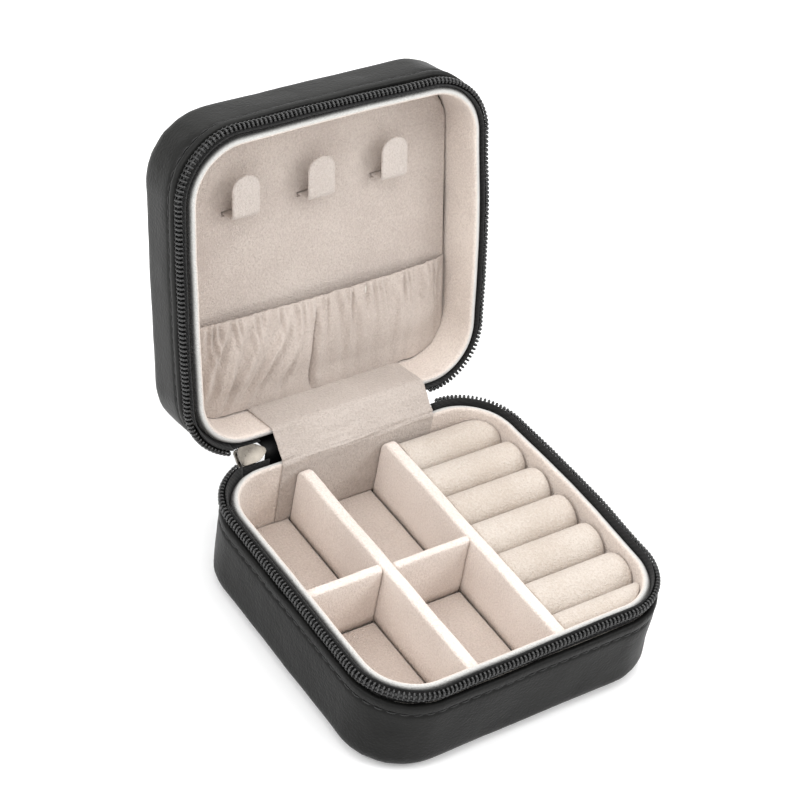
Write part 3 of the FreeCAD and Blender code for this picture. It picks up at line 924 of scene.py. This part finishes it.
def pocket_pleats(x, share):
    """The gathers at the hem, the slanting folds at the left and the one deep fold in the middle."""
    drift = 3.2 * noise.noise(Vector((x / 6.0, share * 1.2, 3.0)))
    ridge = abs(math.sin(math.pi * (x + drift) / 2.5)) ** 1.5 - 0.45
    strength = 0.8 + 0.9 * noise.noise(Vector((x / 3.4, 2.0, 6.0)))
    fade = math.exp(-(4.2 - 2.6 * noise.noise(Vector((x / 3.0, 7.0, 1.0)))) * share)
    gathers = 1.55 * strength * ridge * fade * min(1.0, 0.3 + share * 9)
    leftwards = min(1.0, max(0.0, (-6 - x) / 9))
    slant = x + 0.42 * pocket_drop * share + 3.0 * noise.noise(Vector((x / 10.0, share * 2.0, 5.0)))
    folds = 0.9 * math.sin(2 * math.pi * slant / 6.6) + 0.45 * math.sin(2 * math.pi * slant / 3.9 + 1.0)
    folds *= leftwards * min(1.0, share * 4.0) * min(1.0, (1.03 - share) * 3.0)
    rightwards = min(1.0, max(0.0, (x + 1) / 5))
    sway = x - 3.0 * share + 2.0 * noise.noise(Vector((x / 9.0, share, 9.0)))
    soft = 0.75 * math.sin(2 * math.pi * sway / 5.8) * rightwards
    soft *= min(1.0, share * 5.0) * math.exp(-1.6 * share)
    bend = -3.6 + 6.5 * (share - 0.6) ** 2
    depth = min(1.0, max(0.0, (share - 0.08) * 5)) * min(1.0, (1.03 - share) * 7)
    deep = -2.0 * math.exp(-abs((x - bend) / 0.5)) + 0.9 * math.exp(-((x - bend - 1.6) / 1.4) ** 2)
    slack = 1.3 * noise.noise(Vector((x / 11.0, share * 2.6, 8.0)))
    slack *= math.sin(math.pi * min(share + 0.1, 1.0))
    return gathers + folds + soft + deep * depth + slack


def pocket_height(x, share):
    """The height of the pleated cloth above the panel, down to nothing at the two sides."""
    at_side = min(1.0, (pocket_half - abs(x)) / 2.2)
    return max(0.3, (pocket_puff(x, share) + pocket_pleats(x, share) * at_side) * at_side ** 0.4)


columns = 340
rows = 96
hem_turn = ((-0.05, 0.35), (0.2, 0.95), (1.4, 1.25), (3.2, 1.3), (5.0, 1.3))
pocket_points = []
for j in range(-len(hem_turn), rows + 1):
    share = max(j, 0) / rows
    for i in range(columns + 1):
        x = -pocket_half + 2 * pocket_half * i / columns
        y = pocket_top + pocket_drop * share + 0.3 * noise.noise(Vector((x / 4.0, 1.0, 0.0))) * (1 - share)
        height = pocket_height(x, share)
        if j < 0:
            behind, tuck = hem_turn[-j - 1]
            y += behind
            height = max(0.2, height - tuck)
        px, py = inside_corner(x, y, lining_inner + 0.2)[:2]
        pocket_points.append((px, py, lid_panel_height + height))
pocket_faces = []
for j in range(rows + len(hem_turn)):
    for i in range(columns):
        first = j * (columns + 1) + i
        below = first + columns + 1
        pocket_faces.append((first, first + 1, below + 1, below))
pocket = piece("lid_pocket_cloth", pocket_points, pocket_faces, pocket_velvet, "lid", "pocket_cloth", True)
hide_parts("lid_pocket")

elastic_white, tree, shader, place = new_material("elastic_white")
ribs = add_node(tree, "ShaderNodeTexWave", Vector=place, Scale=500.0)
coloured(tree, shader, ribs.outputs["Fac"], [(0.2, (0.6, 0.56, 0.5)), (0.8, (0.8, 0.76, 0.7))])
shader.inputs["Roughness"].default_value = 0.8
pressed(tree, shader, [(ribs.outputs["Fac"], 0.0001)])

band_half = 43.0
band_top = 13.2
band_foot = 16.2
band_thick = 0.35
band_points = []
for i in range(121):
    x = -band_half + 2 * band_half * i / 120
    for y, rise in ((band_top, 0.0), (band_foot, 0.0), (band_foot, band_thick), (band_top, band_thick)):
        stand = max(0.25, pocket_puff(x, 0.06) * min(1.0, (pocket_half - abs(x)) / 2.2) ** 0.4 - 1.1)
        band_points.append((x, y, lid_panel_height + stand + rise))
band_faces = []
for i in range(120):
    for k in range(4):
        band_faces.append((i * 4 + k, i * 4 + (k + 1) % 4, i * 4 + 4 + (k + 1) % 4, i * 4 + 4 + k))
band = piece("pocket_band", band_points, band_faces, elastic_white, "lid", "elastic", True)
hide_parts("pocket_elastic")

# ---- Hinge ---------------------------------------------------------------------------------------------
# The halves are joined by cloth alone: a velvet strip glued inside both, and a leather strip sewn to both
# covers outside it. Both strips are built folded along the same line, in the open pose, and ride on neither
# half.
flap_left = -25.0
flap_right = 27.0
flap_thickness = 0.55
spine_leather = leather_finish("spine_leather", (0.008, 0.008, 0.008), (0.016, 0.016, 0.016))


def rounded(corners, radius, steps):
    """A (y, z) line through corners, each but the two ends turned with a radius, in points close together."""
    corners = [Vector(corner) for corner in corners]
    line = [corners[0]]
    for before, corner, after in zip(corners, corners[1:], corners[2:]):
        into = (corner - before).normalized()
        out = (after - corner).normalized()
        turn = into.angle(out)
        reach = radius * math.tan(turn / 2)
        first = corner - into * reach
        last = corner + out * reach
        for i in range(steps + 1):
            t = i / steps
            line.append(first * (1 - t) ** 2 + corner * 2 * t * (1 - t) + last * t ** 2)
    line.append(corners[-1])
    dense = []
    for first, last in zip(line, line[1:]):
        count = max(1, round((last - first).length / 0.7))
        dense += [first.lerp(last, i / count) for i in range(count)]
    dense.append(line[-1])
    return dense


def strip(name, replaced, line, left, right, thickness, material, slot, wrinkle):
    """A strip of cloth or leather whose middle line is given, with soft edges, across from left to right."""
    xs = [left, left + 0.12, left + 0.4] + [left + 0.9 + (right - left - 1.8) * i / 60 for i in range(61)]
    xs += [right - 0.4, right - 0.12, right]
    points = []
    for face in (1, -1):
        for index, at in enumerate(line):
            ahead = (line[min(index + 1, len(line) - 1)] - line[max(index - 1, 0)]).normalized()
            normal = Vector((-ahead.y, ahead.x))
            for x in xs:
                edge = min(x - left, right - x)
                half = thickness / 2 * min(1.0, math.sqrt(max(edge, 0.0) / 0.4) + 0.05)
                lift = wrinkle(x, index / (len(line) - 1))
                spot = at + normal * (face * half + lift)
                points.append((x, spot.x, spot.y))
    columns = len(xs)
    layer = len(line) * columns
    faces = []
    for i in range(len(line) - 1):
        for j in range(columns - 1):
            a, b = i * columns + j, (i + 1) * columns + j
            faces.append((a, a + 1, b + 1, b))
            faces.append((layer + a, layer + b, layer + b + 1, layer + a + 1))
        for j in (0, columns - 1):
            a, b = i * columns + j, (i + 1) * columns + j
            faces.append((a, b, layer + b, layer + a))
    for i in (0, len(line) - 1):
        for j in range(columns - 1):
            a = i * columns + j
            faces.append((a, layer + a, layer + a + 1, a + 1))
    made = piece(name, points, faces, material, None, slot)
    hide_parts(replaced)
    return made


def lid_point(y, height):
    """A point of the lid in the open pose, as (y, z)."""
    return on_open_lid((0, y, height))[1:]


flap_wall = wall_y - 0.05 - flap_thickness / 2
flap_bend = 2.8
flap_line = rounded([(flap_wall, base_floor + 0.1), (flap_wall, base_rim + 0.6),
                     lid_point(flap_wall, lid_rim + 0.6),
                     lid_point(flap_wall, lid_panel_height + 0.15)], flap_bend, 10)
flap_length = sum((b - a).length for a, b in zip(flap_line, flap_line[1:]))
# The flap copy of the cream velvet is made darker still: painted shade.
flap_velvet = velvet_finish("flap_velvet", (0.455, 0.395, 0.355), (0.565, 0.50, 0.455))


def flap_wrinkle(x, share):
    """Slack in the free middle of the strip, in long low waves with small creases along the fold."""
    free = math.exp(-((share - 0.52) / 0.17) ** 2)
    waves = 0.4 * noise.noise(Vector((x / 15.0, share * 8, 2.0)))
    creases = 0.42 * noise.noise(Vector((x / 9.0, share * 34, 5.0)))
    return free * (waves + creases) + 0.08 * noise.noise(Vector((x / 3.0, share * 20, 7.0)))


flap = strip("hinge_flap", "hinge_lining_flap", flap_line, flap_left, flap_right, flap_thickness,
             flap_velvet, "lining_velvet", flap_wrinkle)
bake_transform(flap)

spine_left = -28.0
spine_right = 27.5
spine_thickness = 0.85
spine_bend = 2.2
spine_middle = half_depth - 0.5
spine_end = Vector(lid_point(spine_middle, lid_leather_edge + 0.05))
lid_wall = Vector((math.sin(open_angle), math.cos(open_angle)))
fold_height = spine_end.y - lid_wall.y * (spine_end.x - spine_middle) / lid_wall.x
spine_line = rounded([(spine_middle, base_leather_edge - 0.4), (spine_middle, fold_height),
                      spine_end + lid_wall * 0.4], spine_bend, 8)


def spine_wrinkle(x, share):
    """The faint unevenness of the leather strip."""
    return 0.12 * noise.noise(Vector((x / 8.0, share * 6, 4.0)))


spine = strip("hinge_spine_strip", "hinge_spine", spine_line, spine_left, spine_right, spine_thickness,
              spine_leather, "spine_leather", spine_wrinkle)
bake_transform(spine)
spine_length = sum((b - a).length for a, b in zip(spine_line, spine_line[1:]))

# ---- Slider and pull tab -------------------------------------------------------------------------------
# The slider is die-cast: two plates joined by a wedge at the nose, with a bridge on the outer plate. It
# rests in the fold of the tape at the left, and the two ends of the tape are drawn in to its mouth. The pull
# tab hangs from the bridge behind the base.
puller_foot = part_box("zip_puller")[0].z / MM
slider_nose = -36.8
slider_tail = -28.2
slider_middle_y = hinge_axis.y + 0.1
slider_half = 1.65
swing = next(joint for joint in frame["joints"] if joint["name"] == "puller_swing")
swing_axis = Vector(swing["pos_m"]) / MM

zip_metal, tree, shader, place = new_material("zip_metal")
scuff = add_node(tree, "ShaderNodeTexNoise", Vector=place, Scale=700.0, Detail=4.0, Roughness=0.7)
coloured(tree, shader, scuff.outputs["Fac"], [(0.3, (0.14, 0.125, 0.108)), (0.7, (0.22, 0.20, 0.172))])
shader.inputs["Metallic"].default_value = 1.0
wear = add_node(tree, "ShaderNodeMapRange", Value=scuff.outputs["Fac"],
                From_Min=0.3, From_Max=0.7, To_Min=0.24, To_Max=0.42)
tree.links.new(wear.outputs["Result"], shader.inputs["Roughness"])
pressed(tree, shader, [(scuff.outputs["Fac"], 0.00002)])


def plate(outline_points, low, high):
    """A flat plate from its outline of (x, z) points, between two y values."""
    count = len(outline_points)
    points = [(x, low, z) for x, z in outline_points] + [(x, high, z) for x, z in outline_points]
    faces = [list(range(count)), [count + i for i in range(count)]]
    for i in range(count):
        after = (i + 1) % count
        faces.append((i, after, count + after, count + i))
    return points, faces


def shield(nose, tail):
    """The slider's plate: square shoulders at the nose, and a blunt point at the tail."""
    upper = [(nose, 1.9), (nose + 0.4, 2.5), (nose + 1.1, 2.75), (tail - 3.4, 2.65), (tail - 2.6, 2.35),
             (tail - 0.5, 1.0), (tail, 0.45)]
    return upper + [(x, -z) for x, z in reversed(upper)]


def bevelled(made, width, segments):
    """Round a piece's edges for good."""
    modifier = made.modifiers.new("round", "BEVEL")
    modifier.width = width * MM
    modifier.segments = segments
    modifier.limit_method = "ANGLE"
    bpy.context.view_layer.update()
    settled = bpy.data.meshes.new_from_object(made.evaluated_get(bpy.context.evaluated_depsgraph_get()))
    made.modifiers.clear()
    made.data = settled
    return made


def block(x, y, z):
    """A square block between two values on each axis."""
    return plate([(x[0], z[0]), (x[1], z[0]), (x[1], z[1]), (x[0], z[1])], *y)


plate_thick = 0.75
plate_outline = shield(slider_nose, slider_tail)
inner_face = slider_middle_y - slider_half
outer_face = slider_middle_y + slider_half
slider_parts = [
    plate(plate_outline, inner_face, inner_face + plate_thick),
    plate(plate_outline, outer_face - plate_thick, outer_face),
    block((slider_nose + 0.4, slider_nose + 2.0), (inner_face + 0.4, outer_face - 0.4), (-0.9, 0.9)),
]
for sign in (-1, 1):
    rail = [(slider_nose + 2.0, sign * 2.68), (slider_tail - 3.4, sign * 2.55),
            (slider_tail - 3.4, sign * 2.15), (slider_nose + 2.0, sign * 2.25)]
    slider_parts.append(plate(rail, inner_face + 0.5, inner_face + 0.85))
    slider_parts.append(plate(rail, outer_face - 0.85, outer_face - 0.5))
bridge_left = -35.7
bridge_right = -30.3
bridge_height = 1.8
bridge_radius = 0.45
bridge_arch = []
for i in range(17):
    share = i / 16
    arch = min(1.0, 3.2 * math.sin(math.pi * share))
    bridge_arch.append(Vector((bridge_left + (bridge_right - bridge_left) * share,
                               outer_face - 0.3 + bridge_height * arch, 0)))
slider_parts.append(tube(bridge_arch, bridge_radius, 10))
slider_points, slider_faces = gather(slider_parts)
half_turn = Matrix.Rotation(-open_angle / 2, 3, "X")
placed = []
for x, y, z in slider_points:
    turned = half_turn @ Vector((0, y - hinge_axis.y, z))
    placed.append((x, hinge_axis.y + turned.y, hinge_axis.z + turned.z))
slider = bevelled(piece("slider_body", placed, slider_faces, zip_metal, "slider", "zip_metal"), 0.16, 3)
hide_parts("zip_slider")

drawn_left = -38.3
mouth_left = -36.7
mouth_right = -27.4
mouth_y = 46.95
mouth_gap = 1.7


def tape_end(name, low, high, body, on_lid):
    """The end of the tape, drawn in from the round corner to the mouth of the slider."""
    rows, columns = 11, 25
    points = []
    for layer in (0.15, -0.15):
        for i in range(rows):
            share = i / (rows - 1)
            for j in range(columns):
                left = drawn_left + (mouth_left - drawn_left) * share
                x = left + (mouth_right - left) * j / (columns - 1)
                beyond = max(0.0, abs(x) - side_x)
                back = side_y + math.sqrt((corner_radius - tape_outer) ** 2 - beyond ** 2)
                y = back + (mouth_y - back) * share + layer + 0.1 * noise.noise(Vector((x / 2, share, 3)))
                points.append((x, y, low + (high - low) * share))
    other = rows * columns
    faces = []
    for i in range(rows - 1):
        for j in range(columns - 1):
            a, b = i * columns + j, (i + 1) * columns + j
            faces.append((a, a + 1, b + 1, b))
            faces.append((other + a, other + b, other + b + 1, other + a + 1))
        for a in (i * columns, (i + 1) * columns - 1):
            faces.append((a, a + columns, other + columns + a, other + a))
    for j in range(columns - 1):
        for a in (j, (rows - 1) * columns + j):
            faces.append((a, other + a, other + a + 1, a + 1))
    piece(name, points, faces, zip_tape, body, "zip_tape", on_lid)


tape_end("base_tape_end", base_leather_edge - 1.0, hinge_axis.z - mouth_gap, "base", False)
tape_end("lid_tape_end", lid_leather_edge - 1.0, lid_depth - mouth_gap, "lid", True)

tab_half = 2.55
tab_thick = 0.55
recess_middle = -9.6
eye_radius = 0.95
eye_wire_radius = 0.34
drop = swing_axis.z - puller_foot
tab_outline = []
for x, z in ((0.7, 0.6), (0.95, 0.0), (0.95, -1.6), (1.25, -2.6), (tab_half, -5.0),
             (tab_half, -drop + tab_half)):
    tab_outline.append((x, z))
for a in range(0, 91, 15):
    angle = math.radians(a)
    tab_outline.append((tab_half * math.cos(angle), -drop + tab_half - tab_half * math.sin(angle)))
whole_outline = tab_outline + [(-x, z) for x, z in reversed(tab_outline[:-1])]
recess = [(x * 0.68, recess_middle + (z - recess_middle) * 0.62) for x, z in whole_outline if z < -4]
eye_ring = []
for i in range(25):
    angle = 2 * math.pi * i / 24
    eye_ring.append(Vector((0, math.cos(angle) * eye_radius, math.sin(angle) * eye_radius)))
puller_parts = [
    plate([(swing_axis.x + x, swing_axis.z + z) for x, z in whole_outline if z < -1.2],
          swing_axis.y - tab_thick, swing_axis.y + tab_thick),
    plate([(swing_axis.x + x, swing_axis.z + z) for x, z in recess],
          swing_axis.y + tab_thick - 0.1, swing_axis.y + tab_thick + 0.12),
    tube([swing_axis + point for point in eye_ring], eye_wire_radius, 8),
]
puller = bevelled(piece("pull_tab", *gather(puller_parts), zip_metal, "puller", "zip_metal"), 0.2, 3)
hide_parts("zip_puller")

# ---- Hidden layers -------------------------------------------------------------------------------------
# The board trays and the foam are covered up in the finished case. They keep their shapes and get their
# own finishes.
grey_board, tree, shader, place = new_material("grey_board")
fibre = add_node(tree, "ShaderNodeTexNoise", Vector=place, Scale=800.0, Detail=4.0)
coloured(tree, shader, fibre.outputs["Fac"], [(0.3, (0.25, 0.23, 0.2)), (0.7, (0.38, 0.36, 0.32))])
shader.inputs["Roughness"].default_value = 0.9

foam_white, tree, shader, place = new_material("foam_white")
cells = add_node(tree, "ShaderNodeTexVoronoi", Vector=place, Scale=2200.0)
coloured(tree, shader, cells.outputs["Distance"], [(0.1, (0.8, 0.79, 0.76)), (0.6, (0.6, 0.58, 0.54))])
shader.inputs["Roughness"].default_value = 0.95

for node_name, finish in (("base_shell", grey_board), ("lid_shell", grey_board),
                          ("base_foam_pad", foam_white), ("lid_foam_pad", foam_white)):
    for material_slot in frame["nodes"][node_name].material_slots:
        material_slot.material = finish

# ---- Floor and light -----------------------------------------------------------------------------------
# A flat sheet of white paper under the case, in a bright room. The strongest soft box is at the front right,
# and three more light the case from the left, from behind and from above.
floor_white, tree, shader, place = new_material("floor_white")
paper = add_node(tree, "ShaderNodeTexNoise", Vector=place, Scale=30.0, Detail=2.0)
coloured(tree, shader, paper.outputs["Fac"], [(0.3, (0.93, 0.93, 0.93)), (0.7, (0.95, 0.95, 0.95))])
shader.inputs["Roughness"].default_value = 0.9
shader.inputs["Emission Color"].default_value = (1.0, 1.0, 1.0, 1.0)
shader.inputs["Emission Strength"].default_value = 0.12
sweep_points = []
for y, z in ((-3000, 0), (-500, 0), (500, 0), (1500, 0), (3000, 0)):
    sweep_points += [(-3000, y, z), (3000, y, z)]
sweep_faces = [(i * 2, i * 2 + 1, i * 2 + 3, i * 2 + 2) for i in range(4)]
backdrop = piece("floor_sweep", sweep_points, sweep_faces, floor_white)


def soft_box(name, place, aim, size, power):
    """A square area light, in metres, turned to its aim."""
    light = bpy.data.lights.new(name, "AREA")
    light.shape = "SQUARE"
    light.size = size
    light.energy = power
    lamp = bpy.data.objects.new(name, light)
    lamp.location = place
    lamp.rotation_euler = (Vector(aim) - Vector(place)).to_track_quat("-Z", "Y").to_euler()
    bpy.context.scene.collection.objects.link(lamp)


soft_box("key_right", (0.75, -0.75, 0.85), (0, 0.03, 0.05), 0.5, 5.0)
soft_box("left_side", (-0.8, 0.0, 0.8), (0, 0.03, 0.04), 0.6, 4.0)
soft_box("back_top", (0.35, 0.65, 0.95), (0, 0.03, 0.05), 0.7, 4.5)
soft_box("overhead", (-0.05, -0.15, 1.1), (0, 0.03, 0.05), 0.6, 3.0)
world = bpy.data.worlds.new("bright_room")
bpy.context.scene.world = world
world.use_nodes = True
tree = world.node_tree
direction = add_node(tree, "ShaderNodeTexCoord").outputs["Generated"]
height = add_node(tree, "ShaderNodeSeparateXYZ", Vector=direction)
sky = colour_steps(tree, height.outputs["Z"], [(0.0, (0.82, 0.82, 0.82)), (0.6, (1.0, 1.0, 1.0))])
tree.links.new(sky, tree.nodes["Background"].inputs["Color"])
tree.nodes["Background"].inputs["Strength"].default_value = 1.0
